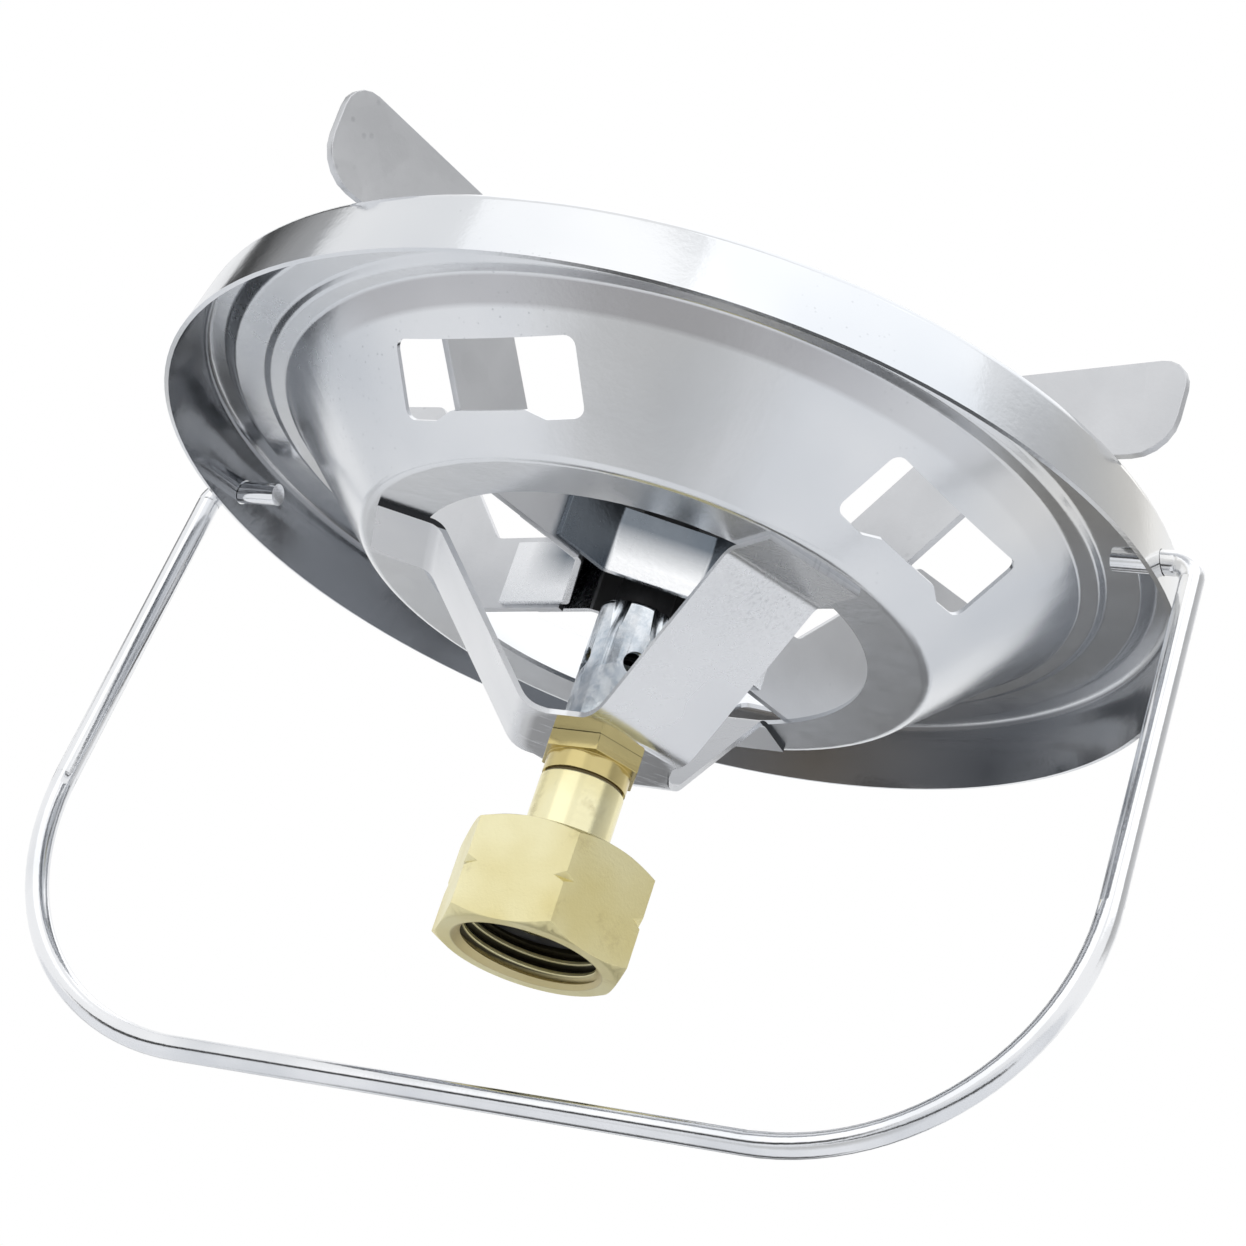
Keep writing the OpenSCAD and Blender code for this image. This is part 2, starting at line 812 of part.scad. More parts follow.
pan();
bracket();
lock_washer();
hex_connector();
jet();
joint_washer();
tailpiece();
gas_filter();
filter_ring();
nut_seal();
union_nut();
burner_tube();
burner_cup();
flame_ring();
burner_cap();
front_left_blade();
front_right_blade();
back_left_blade();
back_right_blade();
front_strap();
back_strap();
left_strap();
right_strap();
bail();
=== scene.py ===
import json
import math

import bpy
from mathutils import Matrix, Vector

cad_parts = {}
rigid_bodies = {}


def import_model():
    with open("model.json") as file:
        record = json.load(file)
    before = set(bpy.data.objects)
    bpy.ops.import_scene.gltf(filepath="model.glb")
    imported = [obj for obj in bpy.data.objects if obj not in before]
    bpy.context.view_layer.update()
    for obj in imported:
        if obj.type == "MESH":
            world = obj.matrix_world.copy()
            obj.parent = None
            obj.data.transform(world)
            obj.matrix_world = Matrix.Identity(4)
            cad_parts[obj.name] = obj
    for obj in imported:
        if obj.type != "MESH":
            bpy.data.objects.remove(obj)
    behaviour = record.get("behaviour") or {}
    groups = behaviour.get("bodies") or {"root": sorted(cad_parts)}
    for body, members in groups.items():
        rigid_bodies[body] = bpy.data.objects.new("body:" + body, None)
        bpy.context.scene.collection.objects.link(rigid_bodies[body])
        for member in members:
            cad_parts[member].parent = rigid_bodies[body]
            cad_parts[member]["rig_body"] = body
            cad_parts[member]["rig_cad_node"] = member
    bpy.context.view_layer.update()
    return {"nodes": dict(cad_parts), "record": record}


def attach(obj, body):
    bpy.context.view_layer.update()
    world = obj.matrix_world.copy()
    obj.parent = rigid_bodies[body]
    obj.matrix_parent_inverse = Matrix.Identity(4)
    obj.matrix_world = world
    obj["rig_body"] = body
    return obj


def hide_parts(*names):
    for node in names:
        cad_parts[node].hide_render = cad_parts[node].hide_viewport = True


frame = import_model()
print("frame loaded:", len(frame["nodes"]), "nodes")

scene = bpy.context.scene
scene.view_settings.view_transform = "Standard"

# camera below the pan, looking up and rolled, as the photo was taken
cameraSet = {
    "place": (-0.0020, -0.4829, -0.1571),
    "lookUp": 0.4078,  # radians above the horizon
    "roll": -0.3251,
    "lens": 105.0,
    "sensor": 36.0,
    "nearest": 0.01,
}


def addCamera(s):
    data = bpy.data.cameras.new("camera")
    data.lens = s["lens"]
    data.sensor_width = s["sensor"]
    data.clip_start = s["nearest"]
    camera = bpy.data.objects.new("camera", data)
    scene.collection.objects.link(camera)
    forward = Vector((0, math.cos(s["lookUp"]), math.sin(s["lookUp"])))
    right = Vector((1, 0, 0))
    down = forward.cross(right)
    c, n = math.cos(s["roll"]), math.sin(s["roll"])
    right, down = right * c + down * n, down * c - right * n
    turn = Matrix((right, -down, -forward)).transposed()
    camera.matrix_world = Matrix.Translation(s["place"]) @ turn.to_4x4()
    scene.camera = camera


addCamera(cameraSet)
print("camera placed")


class Socket:  # a shader value that can be used in sums
    def __init__(self, finish, link):
        self.finish = finish
        self.link = link

    def sum(self, operation, a, b):
        return self.finish.node("ShaderNodeMath", {"operation": operation}, {0: a, 1: b})

    def __add__(self, other):
        return self.sum("ADD", self, other)

    def __radd__(self, other):
        return self.sum("ADD", other, self)

    def __sub__(self, other):
        return self.sum("SUBTRACT", self, other)

    def __rsub__(self, other):
        return self.sum("SUBTRACT", other, self)

    def __mul__(self, other):
        return self.sum("MULTIPLY", self, other)

    def __pow__(self, other):
        return self.sum("POWER", self, other)


class Finish:  # one material, with helpers for its node tree
    def __init__(self, name):
        self.material = bpy.data.materials.new(name)
        self.material.use_nodes = True
        self.tree = self.material.node_tree
        self.shader = self.tree.nodes["Principled BSDF"]
        self.coords = self.node("ShaderNodeTexCoord", out="Object")

    def node(self, kind, settings=None, sockets=None, out=0):
        made = self.tree.nodes.new(kind)
        for key, value in (settings or {}).items():
            setattr(made, key, value)
        for key, value in (sockets or {}).items():
            self.plug(made.inputs[key], value)
        return Socket(self, made.outputs[out])

    def plug(self, target, value):
        if isinstance(value, Socket):
            self.tree.links.new(value.link, target)
        else:
            target.default_value = value

    def set(self, **values):
        for key, value in values.items():
            self.plug(self.shader.inputs[key.replace("_", " ")], value)
        return self

    def stretch(self, scale, turn=(0, 0, 0)):
        return self.node("ShaderNodeMapping", {}, {
            "Vector": self.coords, "Rotation": turn, "Scale": scale})

    def noise(self, scale, detail=3.0, rough=0.5, where=None):
        return self.node("ShaderNodeTexNoise", {}, {
            "Vector": where or self.coords, "Scale": scale, "Detail": detail, "Roughness": rough})

    def cells(self, scale, out="Distance"):
        return self.node("ShaderNodeTexVoronoi", {}, {
            "Vector": self.coords, "Scale": scale}, out)

    def ramp(self, value, low, high, dark=0.0, light=1.0):
        return self.node("ShaderNodeMapRange", {"clamp": True}, {
            "Value": value, 1: low, 2: high, 3: dark, 4: light})

    def blend(self, factor, a, b):
        return self.node("ShaderNodeMix", {"data_type": "RGBA"}, {
            0: factor, 6: a, 7: b}, 2)

    def near(self, point, reach):  # 1 at the point, 0 from reach on
        gap = self.node("ShaderNodeVectorMath", {"operation": "DISTANCE"}, {
            0: self.coords, 1: point}, "Value")
        return self.ramp(gap, 0.0, reach, 1.0, 0.0)

    def parts(self):
        split = self.tree.nodes.new("ShaderNodeSeparateXYZ")
        self.tree.links.new(self.coords.link, split.inputs[0])
        return [Socket(self, split.outputs[i]) for i in range(3)]

    def upright(self, low, high):  # 1 where the surface stands up, 0 where it lies
        normal = self.node("ShaderNodeNewGeometry", out="Normal")
        lie = self.node("ShaderNodeVectorMath", {"operation": "DOT_PRODUCT"}, {
            0: normal, 1: (0, 0, 1)}, "Value")
        return self.ramp(lie * lie, low * low, high * high, 1.0, 0.0)

    def inward(self, low, high):  # 1 where the surface faces the axis of the tube
        normal = self.node("ShaderNodeNewGeometry", out="Normal")
        flat = self.node("ShaderNodeVectorMath", {"operation": "MULTIPLY"}, {
            0: self.coords, 1: (1, 1, 0)})
        aim = self.node("ShaderNodeVectorMath", {"operation": "NORMALIZE"}, {0: flat})
        facing = self.node("ShaderNodeVectorMath", {"operation": "DOT_PRODUCT"}, {
            0: normal, 1: aim}, "Value")
        return self.ramp(facing, -high, -low, 1.0, 0.0)

    def bump(self, height, distance, strength):
        return self.node("ShaderNodeBump", {}, {
            "Height": height, "Distance": distance, "Strength": strength})


def rgb(r, g, b):
    return (r, g, b, 1.0)


panLook = {
    "light": rgb(0.77, 0.782, 0.80),
    "blue": rgb(0.61, 0.638, 0.678),
    "speck": rgb(0.42, 0.44, 0.47),
    "straw": rgb(0.74, 0.68, 0.56),
    # near black painted shade for the inside of the skirt
    "stainAndShade": rgb(0.118, 0.127, 0.143),
    "shade": rgb(0.43, 0.425, 0.44),
    "tints": [((0.055, -0.045, 0.070), 0.022)],  # straw coloured spots and their reach
    "backPatches": [  # brown and dark parts of the skirt's inside at the back
        ((0.034, 0.066, 0.068), 0.034, rgb(0.150, 0.122, 0.088)),
        ((0.060, 0.046, 0.067), 0.030, rgb(0.040, 0.042, 0.047)),
    ],
    "band": (0.0572, 0.0607),  # radii of the painted shade along the upper edge of the bowl
    "bandEdges": (0.0006, 0.0004),  # how softly it starts and ends
    "bandFront": (-0.034, -0.020),  # it fades out from the front to the back
    "bandRight": (0.010, 0.036),  # and towards the right
    "rough": (0.15, 0.30),
    "skirt": (0.0712, 0.0732),  # radii at which the painted shade on the inside of the skirt sets in
    "outside": (0.0732, 0.0742),  # and its smoother outside
}


def platedSheet(look):
    f = Finish("plated_sheet")
    cloud = f.noise(16, 3, 0.55)
    fine = f.noise(240, 4, 0.6)
    grain = f.noise(1400, 2, 0.6)
    colour = f.blend(f.ramp(cloud, 0.38, 0.66), look["light"], look["blue"])
    for point, reach in look["tints"]:
        colour = f.blend(f.near(point, reach) * 0.45, colour, look["straw"])
    dots = f.ramp(f.cells(800), 0.10, 0.17, 1.0, 0.0) * f.ramp(f.noise(38, 2), 0.52, 0.68)
    colour = f.blend(dots * 0.6, colour, look["speck"])
    x, y = f.parts()[:2]
    out = (x * x + y * y) ** 0.5
    # painted shade on the inside of the skirt, which also holds the patches at its back
    inside = f.inward(0.35, 0.7) * f.ramp(out, *look["skirt"])
    colour = f.blend(inside * (0.6 + cloud * 0.4), colour, look["stainAndShade"])
    for point, reach, patchColour in look["backPatches"]:
        colour = f.blend(inside * f.near(point, reach) * 0.8, colour, patchColour)
    # painted shade along the upper edge of the bowl, fading out to the back and the right
    start, end = look["band"]
    first, last = look["bandEdges"]
    band = f.ramp(out, start, start + first) * f.ramp(out, end - last, end, 1.0, 0.0)
    band = band * f.ramp(y, *look["bandFront"], 1.0, 0.0) * f.ramp(x, *look["bandRight"], 1.0, 0.2)
    colour = f.blend(band * (0.45 + cloud * 0.6), colour, look["shade"])
    low, high = look["rough"]
    rough = f.ramp(cloud, 0.3, 0.7, low, high) + fine * 0.10 - 0.05
    rough = rough * (1 - f.ramp(out, *look["outside"]) * 0.4)
    height = fine * 0.30 + grain * 0.10
    return f.set(
        Base_Color=colour, Metallic=1.0, Roughness=rough,
        Normal=f.bump(height, 0.00022, 0.35),
    ).material


bracketLook = {
    "light": rgb(0.74, 0.75, 0.77),
    "worn": rgb(0.60, 0.62, 0.65),
    # near black painted shadow of the gap between each foot and the ring, on the feet's cut edges
    "edge": rgb(0.030, 0.032, 0.036),
    "rough": 0.22,
    # painted shade for faces turned to the axis, also the colour of the rubbed spot
    "inner": rgb(0.27, 0.28, 0.30),
    "hatch": ((0.0190, -0.0300, 0.0490), 0.014),  # rubbed spot at the upper bend of the front leg
    "hub": (0.0125, 0.0322),  # the hub plate's reach and its upper face
    "feet": (0.0305, 0.0528),  # the feet start this far out and this high up; their upright cut edges get a painted shadow
    "frontFoot": ((0.004, 0.008), (-0.010, -0.006)),  # the front foot's cut edges get less of the painted shadow and stay bright
}


def bracketSheet(look):
    f = Finish("bracket_sheet")
    cloud = f.noise(30, 3, 0.5)
    long = f.noise(1.0, 4, 0.65, f.stretch((110, 2400, 420), (0.2, 0.1, 0.7)))
    cross = f.noise(1.0, 3, 0.6, f.stretch((2600, 160, 700), (0.4, 0.2, -0.3)))
    scratch = f.ramp(long, 0.60, 0.72) * 0.6 + f.ramp(cross, 0.64, 0.76) * 0.4
    pits = f.ramp(f.cells(520), 0.08, 0.16, 1.0, 0.0) * f.ramp(f.noise(60, 2), 0.55, 0.70)
    colour = f.blend(f.ramp(cloud, 0.4, 0.7) * 0.7, look["light"], look["worn"])
    colour = f.blend(pits * 0.6, colour, look["worn"])
    rough = look["rough"] + cloud * 0.12 + scratch * 0.14 + pits * 0.2
    height = scratch * -0.25 + pits * -0.4 + f.noise(900, 2) * 0.3
    x, y, z = f.parts()
    out = (x * x + y * y) ** 0.5
    reach, top = look["hub"]
    hub = f.ramp(out, reach - 0.002, reach, 1.0, 0.0) * f.ramp(z, top, top + 0.0005, 1.0, 0.0)
    rough = rough * (1 - hub * 0.75)
    start, foot = look["feet"]
    # painted shadow on the feet's upright cut edges
    edgeShadow = f.ramp(out, start, start + 0.0005) * f.ramp(z, foot, foot + 0.0001)
    edgeShadow = edgeShadow * f.upright(0.35, 0.6)
    right, front = look["frontFoot"]
    edgeShadow = edgeShadow * (1 - f.ramp(x, *right) * f.ramp(y, *front, 1.0, 0.0) * 0.75)
    # painted shade on faces turned to the axis
    colour = f.blend(f.inward(0.3, 0.6) * 0.9, colour, look["inner"])
    rub = f.noise(1.0, 3, 0.6, f.stretch((2600, 2600, 170)))
    rub = f.ramp(rub, 0.52, 0.66) * f.near(*look["hatch"])
    colour = f.blend(rub * 0.5, colour, look["inner"])
    colour = f.blend(edgeShadow * 0.95, colour, look["edge"])
    rough = rough + edgeShadow * 0.4
    return f.set(
        Base_Color=colour, Metallic=1.0, Roughness=rough,
        Normal=f.bump(height, 0.00010, 0.22),
    ).material


brassLook = {
    "pale": rgb(0.88, 0.83, 0.54),
    "warm": rgb(0.75, 0.66, 0.32),
    # the colour of the stains, also the painted shade on the lip of the nut's mouth
    "stainAndShade": rgb(0.42, 0.34, 0.17),
    # near black painted shade in the thread's grooves and deep in the nut's bore
    "boreShade": rgb(0.020, 0.017, 0.012),
    "groove": (0.00995, 0.01015),  # radii of the thread's crest and groove
    "mouth": (0.0002, 0.0006),  # heights between which the lip gives way to the painted shade of the bore
    "allDark": (0.0030, 0.0038),  # heights from which the whole bore has the painted shade
    "web": (0.0120, 0.0122),  # and where that ends
    "boreShadeEnd": (0.01095, 0.01115),  # radii at which the painted shade of the bore fades out
    "lipEnd": (0.01095, 0.01125),  # and the painted shade on the lip
    "rings": 5200.0,  # tool marks up the turned stem
}
hexLook = dict(brassLook, pale=rgb(0.66, 0.56, 0.27), warm=rgb(0.56, 0.46, 0.20))


def turnedBrass(look, name):
    f = Finish(name)
    z = f.parts()[2]
    rings = f.node("ShaderNodeMath", {"operation": "SINE"}, {0: z * look["rings"]})
    cloud = f.noise(70, 3, 0.5)
    stain = f.ramp(f.noise(160, 4, 0.65), 0.58, 0.72)
    colour = f.blend(f.ramp(cloud, 0.35, 0.7), look["pale"], look["warm"])
    colour = f.blend(stain * 0.35, colour, look["stainAndShade"])
    rough = 0.16 + cloud * 0.08 + stain * 0.12
    height = rings * 0.08 + f.noise(1800, 2) * 0.25
    return f.set(
        Base_Color=colour, Metallic=1.0, Roughness=rough,
        Normal=f.bump(height, 0.00006, 0.35),
    ).material


def forgedBrass(look):
    f = Finish("forged_brass")
    cloud = f.noise(55, 3, 0.5)
    grain = f.noise(2200, 3, 0.6)
    stain = f.ramp(f.noise(130, 5, 0.7), 0.60, 0.75)
    colour = f.blend(f.ramp(cloud, 0.35, 0.7), look["pale"], look["warm"])
    colour = f.blend(stain * 0.4, colour, look["stainAndShade"])
    rough = 0.34 + cloud * 0.10 + grain * 0.08 + stain * 0.10
    x, y, z = f.parts()
    out = (x * x + y * y) ** 0.5
    # painted shade in the thread's grooves and over the deep bore
    groove = f.node("ShaderNodeMath", {"operation": "MAXIMUM"}, {
        0: f.ramp(out, *look["groove"]), 1: f.ramp(z, *look["allDark"])})
    boreShade = groove * f.ramp(out, *look["boreShadeEnd"], 1.0, 0.0) * f.ramp(z, *look["mouth"])
    boreShade = boreShade * f.ramp(z, *look["web"], 1.0, 0.0)
    colour = f.blend(boreShade * 0.94, colour, look["boreShade"])
    # painted shade on the lip of the nut's mouth
    lip = f.ramp(out, *look["lipEnd"], 1.0, 0.0) * f.ramp(z, *look["mouth"], 1.0, 0.0)
    colour = f.blend(lip * 0.7, colour, look["stainAndShade"])
    return f.set(
        Base_Color=colour, Metallic=1.0, Roughness=rough,
        Normal=f.bump(grain * 0.7 + f.noise(500, 2) * 0.4, 0.00012, 0.40),
    ).material


tubeLook = {"blue": rgb(0.53, 0.59, 0.65), "pale": rgb(0.80, 0.83, 0.86)}


def zincTube(look):
    f = Finish("zinc_tube")
    spangle = f.cells(260, "Color")
    mottle = f.noise(520, 4, 0.65)
    split = f.node("ShaderNodeSeparateColor", {}, {0: spangle})
    colour = f.blend(split * 0.35 + f.ramp(mottle, 0.38, 0.60) * 0.65, look["blue"], look["pale"])
    rough = 0.10 + split * 0.08 + mottle * 0.12
    return f.set(
        Base_Color=colour, Metallic=1.0, Roughness=rough,
        Normal=f.bump(mottle * 0.25 + f.noise(1500, 2) * 0.2, 0.00008, 0.30),
    ).material


bladeLook = {
    "grey": rgb(0.56, 0.57, 0.59),
    "pale": rgb(0.70, 0.71, 0.73),
    "speck": rgb(0.36, 0.37, 0.39),
    # blue grey painted shade over the upper parts near the tube
    "heatAndShade": rgb(0.070, 0.095, 0.125),
    # near black painted shade on faces turned to the tube
    "innerShade": rgb(0.012, 0.012, 0.013),
    "tab": (1.0, 1.1),  # sideways reach from which a strap's bent ends get the painted shade, here none
    "shadeHigh": (0.0575, 0.0630),  # heights between which the painted shade sets in
    "shadeReach": (0.016, 0.023),  # and how far out from the tube it fades
    "innerShadeReach": (0.016, 0.020),
    "rough": 0.32,
}
strapLook = dict(bladeLook, grey=rgb(0.76, 0.775, 0.80), pale=rgb(0.84, 0.85, 0.87), rough=0.20)
# the strap at the front: a lighter copy of the strap sheet with painted light, and its painted shade
# reaching further out and over its bent ends
frontLook = dict(
    bladeLook, grey=rgb(0.88, 0.89, 0.905), pale=rgb(0.94, 0.945, 0.955), rough=0.18,
    shadeReach=(0.026, 0.032), tab=(0.0064, 0.0072))


def galvanisedSheet(look, name):
    f = Finish(name)
    spangle = f.node("ShaderNodeSeparateColor", {}, {0: f.cells(170, "Color")})
    cloud = f.noise(45, 3, 0.5)
    grain = f.noise(1300, 3, 0.6)
    specks = f.ramp(f.cells(360), 0.10, 0.20, 1.0, 0.0) * f.ramp(f.noise(70, 2), 0.50, 0.66)
    colour = f.blend(spangle * 0.12 + f.ramp(cloud, 0.35, 0.7) * 0.75, look["grey"], look["pale"])
    colour = f.blend(specks * 0.7, colour, look["speck"])
    x, y, z = f.parts()
    out = (x * x + y * y) ** 0.5
    side = f.node("ShaderNodeMath", {"operation": "ABSOLUTE"}, {0: x})
    # painted shade over the upper parts near the tube and a strap's bent ends
    heatAndShade = f.node("ShaderNodeMath", {"operation": "MAXIMUM"}, {
        0: f.ramp(z, *look["shadeHigh"]), 1: f.ramp(side, *look["tab"])})
    heatAndShade = heatAndShade * f.ramp(out, *look["shadeReach"], 1.0, 0.0)
    colour = f.blend(heatAndShade * (0.7 + cloud * 0.4), colour, look["heatAndShade"])
    # painted shade on faces turned to the tube, near it
    innerShade = f.inward(0.3, 0.6) * f.ramp(out, *look["innerShadeReach"], 1.0, 0.0)
    colour = f.blend(innerShade * 0.96, colour, look["innerShade"])
    rough = look["rough"] + spangle * 0.03 + grain * 0.12 + innerShade * 0.3
    return f.set(
        Base_Color=colour, Metallic=1.0 - innerShade * 0.8, Roughness=rough,
        Normal=f.bump(grain * 0.5 - specks * 0.6, 0.00012, 0.35),
    ).material


wireLook = {"bright": rgb(0.84, 0.85, 0.87), "grey": rgb(0.66, 0.68, 0.71)}


def brightWire(look):
    f = Finish("bright_wire")
    cloud = f.noise(60, 3, 0.5)
    fine = f.noise(900, 3, 0.6)
    colour = f.blend(f.ramp(cloud, 0.45, 0.75) * 0.8, look["bright"], look["grey"])
    return f.set(
        Base_Color=colour, Metallic=1.0, Roughness=0.08 + cloud * 0.08 + fine * 0.06,
        Normal=f.bump(fine, 0.00006, 0.25),
    ).material


rubberLook = {"black": rgb(0.018, 0.018, 0.020), "dust": rgb(0.070, 0.068, 0.066)}


def blackRubber(look):
    f = Finish("black_rubber")
    dust = f.ramp(f.noise(420, 4, 0.65), 0.45, 0.75)
    return f.set(
        Base_Color=f.blend(dust * 0.7, look["black"], look["dust"]),
        Roughness=0.45 + dust * 0.25,
        Normal=f.bump(f.noise(1600, 3), 0.00010, 0.4),
    ).material


fibreLook = {"brown": rgb(0.10, 0.075, 0.030), "light": rgb(0.17, 0.13, 0.055)}


def fibreWasher(look):
    f = Finish("fibre_washer")
    hair = f.noise(1.0, 4, 0.65, f.stretch((300, 900, 900)))
    return f.set(
        Base_Color=f.blend(hair, look["brown"], look["light"]), Roughness=0.65 + hair * 0.2,
        Normal=f.bump(hair, 0.00010, 0.4),
    ).material


gauzeLook = {"wire": rgb(0.52, 0.52, 0.50), "gap": rgb(0.05, 0.05, 0.05), "pitch": 9000.0}


def wireGauze(look):
    f = Finish("wire_gauze")
    x, y = f.parts()[:2]
    across = f.node("ShaderNodeMath", {"operation": "SINE"}, {0: x * look["pitch"]})
    along = f.node("ShaderNodeMath", {"operation": "SINE"}, {0: y * look["pitch"]})
    either = f.node("ShaderNodeMath", {"operation": "MAXIMUM"}, {0: across, 1: along})
    weave = f.ramp(either, 0.1, 0.5)
    return f.set(
        Base_Color=f.blend(weave, look["gap"], look["wire"]), Metallic=weave,
        Roughness=0.45 - weave * 0.1, Normal=f.bump(weave, 0.00010, 0.5),
    ).material


burnerLook = {
    "iron": rgb(0.030, 0.031, 0.034),
    "pale": rgb(0.075, 0.076, 0.080),
    "rust": rgb(0.070, 0.045, 0.032),
}


def burnerIron(look):
    f = Finish("burner_iron")
    cloud = f.noise(90, 4, 0.6)
    grain = f.noise(1100, 3, 0.6)
    heatAndShade = f.ramp(f.noise(45, 3), 0.55, 0.75)
    colour = f.blend(f.ramp(cloud, 0.35, 0.7), look["iron"], look["pale"])
    colour = f.blend(heatAndShade * 0.35, colour, look["rust"])
    return f.set(
        Base_Color=colour, Metallic=0.85, Roughness=0.48 + grain * 0.16,
        Normal=f.bump(grain, 0.00018, 0.5),
    ).material


finishes = {
    "plated_sheet": platedSheet(panLook),
    "bracket_sheet": bracketSheet(bracketLook),
    "brass": turnedBrass(brassLook, "turned_brass"),
    "hex": turnedBrass(hexLook, "deep_brass"),
    "forged": forgedBrass(brassLook),
    "fibre": fibreWasher(fibreLook),
    "gauze": wireGauze(gauzeLook),
    "black_rubber": blackRubber(rubberLook),
    "zinc_tube": zincTube(tubeLook),
    "burner_iron": burnerIron(burnerLook),
    "galvanised_blade": galvanisedSheet(bladeLook, "galvanised_blade"),
    "strap": galvanisedSheet(strapLook, "bright_strap"),
    "front_strap": galvanisedSheet(frontLook, "front_strap"),
    "bright_wire": brightWire(wireLook),
}
print("finishes made:", len(finishes))


def pickOnly(piece):
    bpy.ops.object.select_all(action="DESELECT")
    piece.select_set(True)
    bpy.context.view_layer.objects.active = piece


twinSet = {
    "merge": 1e-6,
    "flat": math.radians(0.4),  # faces that differ by less become one
    "sharp": math.radians(38.0),  # sharper edges are softened
    "segments": 2,
    "smooth": math.radians(32.0),  # blunter edges are shaded smooth
    "weight": 50,
}


# a solid's twin with merged faces, softened edges, its own cuts and smooth shading
def softTwin(node, edge, shape, smooth):
    s = twinSet
    pickOnly(frame["nodes"][node])
    bpy.ops.object.duplicate()
    twin = bpy.context.view_layer.objects.active
    twin.name = node + "_finished"
    twin.parent = None
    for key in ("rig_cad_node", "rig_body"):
        if key in twin:
            del twin[key]
    pickOnly(twin)
    bpy.ops.mesh.customdata_custom_splitnormals_clear()
    bpy.ops.object.mode_set(mode="EDIT")
    bpy.ops.mesh.select_all(action="SELECT")
    bpy.ops.mesh.remove_doubles(threshold=s["merge"])
    bpy.ops.mesh.dissolve_limited(angle_limit=s["flat"])
    bpy.ops.object.mode_set(mode="OBJECT")
    if edge:
        soften = twin.modifiers.new("soften", "BEVEL")
        soften.width = edge
        soften.segments = s["segments"]
        soften.limit_method = "ANGLE"
        soften.angle_limit = s["sharp"]
        soften.use_clamp_overlap = True
        soften.miter_outer = "MITER_ARC"
        bpy.ops.object.modifier_apply(modifier=soften.name)
    if shape:
        shape(twin)
    bpy.ops.object.shade_smooth_by_angle(angle=smooth)
    level = twin.modifiers.new("level", "WEIGHTED_NORMAL")
    level.weight = s["weight"]
    level.keep_sharp = True
    bpy.ops.object.modifier_apply(modifier=level.name)
    return twin


def wear(piece, finish):
    piece.data.materials.clear()
    piece.data.materials.append(finishes[finish])


nodeSlot = {s["node"]: s["material_slot"] for s in frame["record"]["subparts"]}
nodeBody = {n: b for b, members in frame["record"]["behaviour"]["bodies"].items() for n in members}

# softened edges of each solid, in metres
softEdges = {
    "pan": 0.0, "bracket": 0.00016, "lock_washer": 0.00010, "hex_connector": 0.00022,
    "jet": 0.00012, "tailpiece": 0.00020, "nut_seal": 0.00025, "union_nut": 0.00028,
    "burner_tube": 0.00014, "burner_cup": 0.00020, "flame_ring": 0.00008, "burner_cap": 0.00025,
    "front_left_blade": 0.00018, "front_right_blade": 0.00018, "back_left_blade": 0.00018,
    "back_right_blade": 0.00018, "front_strap": 0.00014, "back_strap": 0.00014,
    "left_strap": 0.00014, "right_strap": 0.00014, "bail": 0.0,
    "joint_washer": 0.00008, "gas_filter": 0.00005, "filter_ring": 0.00008,
}


def cutAway(piece, tool):
    pickOnly(piece)
    cut = piece.modifiers.new("cut", "BOOLEAN")
    cut.operation = "DIFFERENCE"
    cut.solver = "EXACT"
    cut.object = tool
    bpy.ops.object.modifier_apply(modifier=cut.name)
    bpy.data.objects.remove(tool, do_unlink=True)
    pickOnly(piece)


# the nut's thread: a diamond wound up the bore and cut out of it
threadSet = {
    "core": 0.0099, "deep": 0.0009, "half": 0.00072,
    "pitch": 0.0018, "turns": 2.5, "start": -0.0003, "stepsPerTurn": 72,
}


def cutThread(nut):
    s = threadSet
    bpy.ops.object.select_all(action="DESELECT")
    bpy.ops.mesh.primitive_circle_add(
        vertices=4, radius=1, location=(s["core"], 0, s["start"]), rotation=(math.pi / 2, 0, 0))
    cutter = bpy.context.view_layer.objects.active
    cutter.scale = (s["deep"], s["half"], 1)
    bpy.ops.object.transform_apply(location=True, rotation=True, scale=True)
    wind = cutter.modifiers.new("wind", "SCREW")
    wind.angle = 2 * math.pi * s["turns"]
    wind.screw_offset = s["pitch"] * s["turns"]
    wind.steps = wind.render_steps = int(s["stepsPerTurn"] * s["turns"])
    bpy.ops.object.modifier_apply(modifier=wind.name)
    bpy.ops.object.mode_set(mode="EDIT")
    bpy.ops.mesh.select_all(action="SELECT")
    bpy.ops.mesh.fill_holes(sides=4)
    bpy.ops.mesh.select_all(action="SELECT")
    bpy.ops.mesh.normals_make_consistent(inside=False)
    bpy.ops.object.mode_set(mode="OBJECT")
    cutAway(nut, cutter)


# the wire thicker than its solid, nearer to the photo, and its two holes in the skirt to match
wireSet = {
    "swell": 0.00030, "step": 0.00004, "smooth": math.radians(75.0),
    "hole": 0.00187, "sides": 48, "deep": 0.006,
    "turn": math.radians(-31), "out": 0.0755, "high": 0.0688,
}


def swellWire(bail):
    bpy.ops.object.mode_set(mode="EDIT")
    bpy.ops.mesh.select_all(action="SELECT")
    bpy.ops.mesh.remove_doubles(threshold=wireSet["step"])
    bpy.ops.mesh.normals_make_consistent(inside=False)
    bpy.ops.transform.shrink_fatten(value=wireSet["swell"])
    bpy.ops.object.mode_set(mode="OBJECT")


def widenHoles(pan):
    s = wireSet
    for turn in (s["turn"], s["turn"] + math.pi):
        bpy.ops.object.select_all(action="DESELECT")
        bpy.ops.mesh.primitive_cylinder_add(
            vertices=s["sides"], radius=s["hole"], depth=s["deep"], rotation=(0, math.pi / 2, turn),
            location=(math.cos(turn) * s["out"], math.sin(turn) * s["out"], s["high"]))
        cutAway(pan, bpy.context.view_layer.objects.active)


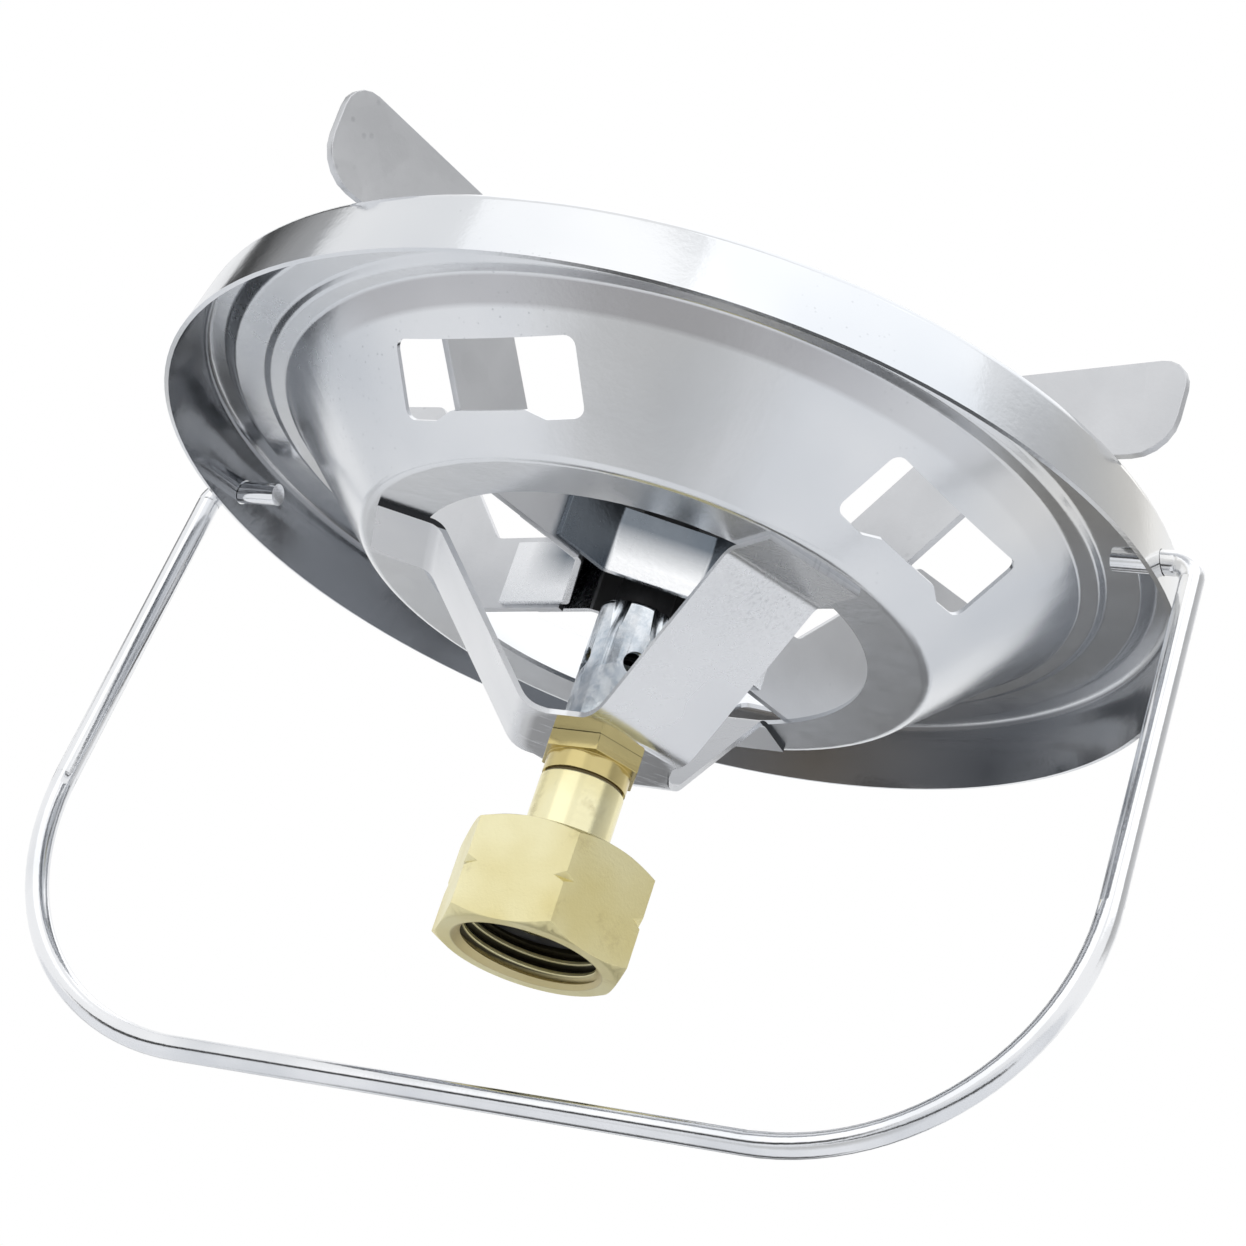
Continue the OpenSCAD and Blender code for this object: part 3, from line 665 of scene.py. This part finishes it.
ownShape = {"pan": widenHoles, "union_nut": cutThread, "bail": swellWire}
ownSmooth = {"bail": wireSet["smooth"]}

# solids that differ in finish from the rest of their slot; the front strap's is a lighter copy with
# painted light
ownFinish = {
    "union_nut": "forged", "hex_connector": "hex", "front_strap": "front_strap",
    "back_strap": "strap", "left_strap": "strap", "right_strap": "strap",
}

for node, edge in softEdges.items():
    twin = softTwin(node, edge, ownShape.get(node), ownSmooth.get(node, twinSet["smooth"]))
    wear(twin, ownFinish.get(node, nodeSlot[node]))
    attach(twin, nodeBody[node])
    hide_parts(node)
print("solids finished:", len(softEdges))

stageSet = {
    "floorDrop": -0.24,
    "floorSize": 4.0,
    "floorColour": (0.87, 0.88, 0.90, 1),
    "floorShade": (0.80, 0.81, 0.83, 1),
    "worldGlow": 0.92,
    "aim": (0, 0, 0.05),  # where cards and lamps point
}


def addFloor(s):
    bpy.ops.object.select_all(action="DESELECT")
    bpy.ops.mesh.primitive_plane_add(size=s["floorSize"], location=(0, 0, s["floorDrop"]))
    floor = bpy.context.view_layer.objects.active
    floor.name = "floor"
    f = Finish("floor")
    tone = f.noise(3, 2)
    f.set(Base_Color=f.blend(tone * 0.2, s["floorColour"], s["floorShade"]), Roughness=0.8)
    floor.data.materials.append(f.material)


def aimAt(piece, axis):
    line = Vector(stageSet["aim"]) - piece.location
    piece.rotation_euler = line.to_track_quat(axis, "Y").to_euler()


# grey cards round the set, out of the picture, which only reflections show
# tones are those of a card's left and right half, which run into each other over fade to both sides
# soft is the part of a card that fades out at its edges
cards = [
    {"name": "floor_back", "place": (-0.035, 0.80, -0.232), "flat": True, "wide": 1.2, "high": 0.50,
     "tones": (0.66, 0.14), "fade": 0.115, "soft": 0.06},
    {"name": "floor_under", "place": (0.03, 0.17, -0.231), "flat": True, "wide": 0.27, "high": 0.18,
     "tones": (0.10, 0.08), "fade": 0.09, "soft": 0.2},
    {"name": "floor_right", "place": (0.22, 0.44, -0.231), "flat": True, "wide": 0.36, "high": 0.30,
     "tones": (0.26, 0.20), "fade": 0.10, "soft": 0.12},
    {"name": "floor_left", "place": (-0.12, -0.23, -0.231), "flat": True, "wide": 0.46, "high": 0.24,
     "tones": (0.60, 0.56), "fade": 0.10, "soft": 0.4},
    {"name": "floor_front", "place": (0, -0.49, -0.230), "flat": True, "wide": 0.7, "high": 0.26,
     "tones": (0.03, 0.03), "fade": 0.10, "soft": 0.15},
    {"name": "left_low", "place": (-0.78, -0.45, -0.09), "wide": 0.9, "high": 0.30,
     "tones": (0.04, 0.04), "fade": 0.10, "soft": 0.12},
    {"name": "right_side", "place": (0.86, -0.04, 0.50), "wide": 1.25, "high": 0.72,
     "tones": (0.74, 0.44), "fade": 0.50, "soft": 0.12},
    {"name": "left_high", "place": (-0.58, 0.44, 0.55), "wide": 0.44, "high": 0.45,
     "tones": (0.40, 0.05), "fade": 0.10, "soft": 0.08},
]


def addCard(s):
    bpy.ops.object.select_all(action="DESELECT")
    bpy.ops.mesh.primitive_plane_add(size=1, location=s["place"])
    card = bpy.context.view_layer.objects.active
    card.name = s["name"]
    card.scale = (s["wide"], s["high"], 1)
    if not s.get("flat"):
        aimAt(card, "Z")
    for ray in ("camera", "diffuse", "shadow", "transmission"):
        setattr(card, "visible_" + ray, False)
    f = Finish(s["name"])
    across, up = f.parts()[:2]
    edge = s["fade"] / s["wide"]
    tone = f.ramp(across, -edge, edge, *s["tones"])
    half = 0.5
    full = (half - s["soft"]) ** 2
    cover = f.ramp(across * across, full, half ** 2, 1.0, 0.0)
    cover = cover * f.ramp(up * up, full, half ** 2, 1.0, 0.0)
    f.set(Base_Color=(0, 0, 0, 1), Roughness=1.0, Specular_IOR_Level=0.0,
          Emission_Color=tone, Emission_Strength=1.0, Alpha=cover)
    card.data.materials.append(f.material)


lamps = [
    {"name": "key", "place": (-0.60, -0.70, 0.60), "size": 0.9, "power": 0.7},
    {"name": "front", "place": (0.30, -0.62, 0.80), "size": 0.9, "power": 1.0},
    {"name": "top", "place": (0.10, 0.25, 0.85), "size": 0.9, "power": 0.8},
]


def addLamp(s):
    data = bpy.data.lights.new(s["name"], "AREA")
    data.size = s["size"]
    data.energy = s["power"]
    lamp = bpy.data.objects.new(s["name"], data)
    scene.collection.objects.link(lamp)
    lamp.location = s["place"]
    aimAt(lamp, "-Z")
    lamp.visible_camera = False


def whiteWorld(s):
    world = bpy.data.worlds.new("white_world")
    scene.world = world
    world.use_nodes = True
    tree = world.node_tree
    tree.nodes.clear()
    path = tree.nodes.new("ShaderNodeLightPath")
    seen = tree.nodes.new("ShaderNodeMath")
    seen.operation = "MAXIMUM"
    both = tree.nodes.new("ShaderNodeMath")
    both.operation = "MAXIMUM"
    tree.links.new(path.outputs["Is Camera Ray"], seen.inputs[0])
    tree.links.new(path.outputs["Is Glossy Ray"], seen.inputs[1])
    tree.links.new(seen.outputs[0], both.inputs[0])
    tree.links.new(path.outputs["Is Transmission Ray"], both.inputs[1])
    strength = tree.nodes.new("ShaderNodeMapRange")
    strength.inputs[3].default_value = s["worldGlow"]
    strength.inputs[4].default_value = 1.0
    tree.links.new(both.outputs[0], strength.inputs[0])
    glow = tree.nodes.new("ShaderNodeBackground")
    glow.inputs["Color"].default_value = (1, 1, 1, 1)
    tree.links.new(strength.outputs[0], glow.inputs["Strength"])
    end = tree.nodes.new("ShaderNodeOutputWorld")
    tree.links.new(glow.outputs[0], end.inputs["Surface"])


addFloor(stageSet)
for card in cards:
    addCard(card)
for lamp in lamps:
    addLamp(lamp)
whiteWorld(stageSet)
print("stage set:", len(lamps), "lamps")
